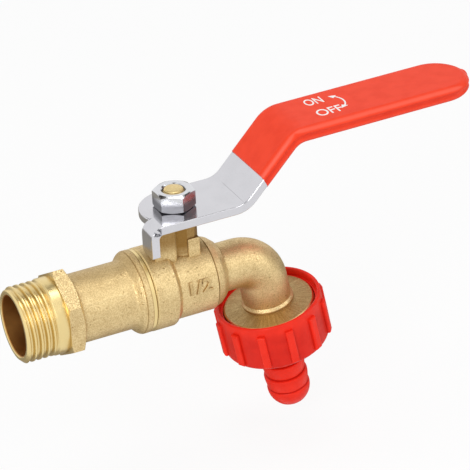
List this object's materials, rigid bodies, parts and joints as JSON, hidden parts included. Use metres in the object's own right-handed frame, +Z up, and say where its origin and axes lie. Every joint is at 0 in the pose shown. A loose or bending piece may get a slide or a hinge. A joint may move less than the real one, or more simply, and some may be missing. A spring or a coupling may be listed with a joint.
{
  "type": "hose tap",
  "caption": "Brass lever ball tap with a threaded inlet, a bent outlet, a red-gripped quarter-turn lever and a red union nut holding a hose barb.",
  "frame": {"origin": "on the inlet axis at the shoulder behind the inlet thread", "axes": "+X along the inlet axis with the flow, +Z up the stem, towards the lever; the lever points along +X when open"},
  "size_m": [0.1374, 0.0314, 0.0888],
  "materials": {
    "cast_brass": "sand-blasted",
    "chrome_steel": "bright plated",
    "stem_brass": "turned",
    "red_vinyl": "satin",
    "red_plastic": "gloss",
    "ptfe": "matt",
    "black_rubber": "matt"
  },
  "bodies": {
    "tap_body": {"valve_body": "cast_brass", "inlet_tail": "cast_brass", "seat_inlet": "ptfe", "seat_outlet": "ptfe", "thrust_washer": "ptfe"},
    "lever_set": {"lever": "chrome_steel", "lever_grip": "red_vinyl", "lever_nut": "chrome_steel", "stem": "stem_brass", "stem_ring_lower": "black_rubber", "stem_ring_upper": "black_rubber", "ball": "chrome_steel"},
    "hose_set": {"hose_tail": "red_plastic", "hose_washer": "black_rubber"},
    "nut_set": {"union_nut": "red_plastic"}
  },
  "joints": [
    {"name": "lever_turn", "type": "hinge", "parent": "tap_body", "child": "lever_set", "pos_m": [0.0362, 0, 0.0213], "axis": [0, 0, 1], "range_deg": [-90, 0]},
    {"name": "hose_slide", "type": "slide", "parent": "tap_body", "child": "hose_set", "axis": [0.1788, 0, -0.9839], "range_m": [0, 0.0066]},
    {"name": "nut_turn", "type": "hinge", "parent": "hose_set", "child": "nut_set", "pos_m": [0.0597, 0, 0], "axis": [0.1788, 0, -0.9839], "range_deg": [0, 1260]}
  ],
  "couplings": [
    {"joint": "hose_slide", "follows": "nut_turn", "m_per_rad": 0.00028871}
  ]
}
